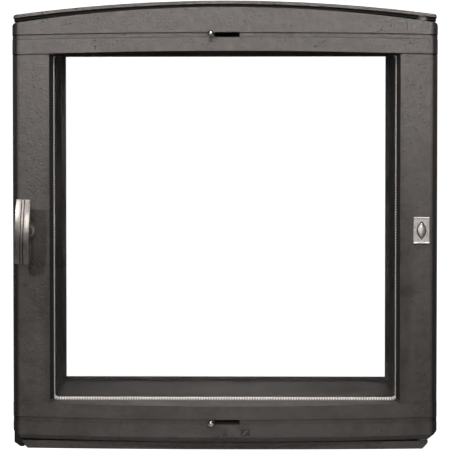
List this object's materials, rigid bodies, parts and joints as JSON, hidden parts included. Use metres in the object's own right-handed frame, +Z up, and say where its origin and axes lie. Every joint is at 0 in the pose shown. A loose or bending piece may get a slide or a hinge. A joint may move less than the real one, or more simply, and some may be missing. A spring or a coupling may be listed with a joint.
{
  "type": "fireplace glass door",
  "caption": "Cast iron fireplace door with a bowed, arched leaf, a clear glass sealed with rope, a turning latch lever and sliding air controls, in a frame for a masonry opening.",
  "frame": {"origin": "middle of the lower run of the flange's back face, where it lies on the masonry", "axes": "+X to the right seen from the room, +Y into the masonry, +Z up"},
  "size_m": [0.49, 0.12, 0.5146],
  "materials": {
    "cast_iron": "fine-grained cast iron in dark grey stove paint",
    "bright_metal": "satin silver",
    "plain_steel": "plain zinc-plated steel",
    "dark_steel": "dark heat-proof paint",
    "glass_fibre_rope": "braided white glass fibre",
    "clear_glass": "clear ceramic glass"
  },
  "bodies": {
    "frame": {"frame_casting": "cast_iron", "keeper": "plain_steel", "keeper_screws": "plain_steel", "upper_hinge_pin": "plain_steel", "lower_hinge_pin": "plain_steel", "hinge_washer": "plain_steel"},
    "door": {"door_casting": "cast_iron", "door_rope_seal": "glass_fibre_rope", "glass_pane": "clear_glass", "glass_rope_seal": "glass_fibre_rope", "glass_clips": "plain_steel", "clip_screws": "plain_steel", "blank_cover": "bright_metal", "cover_washer": "plain_steel", "cover_nut": "plain_steel", "spindle_bush": "plain_steel", "upper_guide_screws": "plain_steel", "lower_guide_screws": "plain_steel"},
    "handle": {"handle_lever": "bright_metal", "handle_grub_screw": "plain_steel", "spindle": "plain_steel", "spring_washer": "plain_steel", "latch_tongue": "plain_steel", "tongue_screw": "plain_steel"},
    "upper_slider": {"upper_slide_plate": "dark_steel", "upper_knob": "bright_metal"},
    "lower_slider": {"lower_slide_plate": "dark_steel", "lower_knob": "bright_metal"}
  },
  "joints": [
    {"name": "door_swing", "type": "hinge", "parent": "frame", "child": "door", "pos_m": [0.228, -0.024, 0.227], "axis": [0, 0, 1], "range_deg": [0, 105]},
    {"name": "latch_turn", "type": "hinge", "parent": "door", "child": "handle", "pos_m": [-0.228, -0.03, 0.227], "axis": [0, -1, 0], "range_deg": [0, 60]},
    {"name": "upper_air_slide", "type": "slide", "parent": "door", "child": "upper_slider", "axis": [1, 0, 0], "range_m": [0, 0.028]},
    {"name": "lower_air_slide", "type": "slide", "parent": "door", "child": "lower_slider", "axis": [1, 0, 0], "range_m": [0, 0.028]}
  ]
}
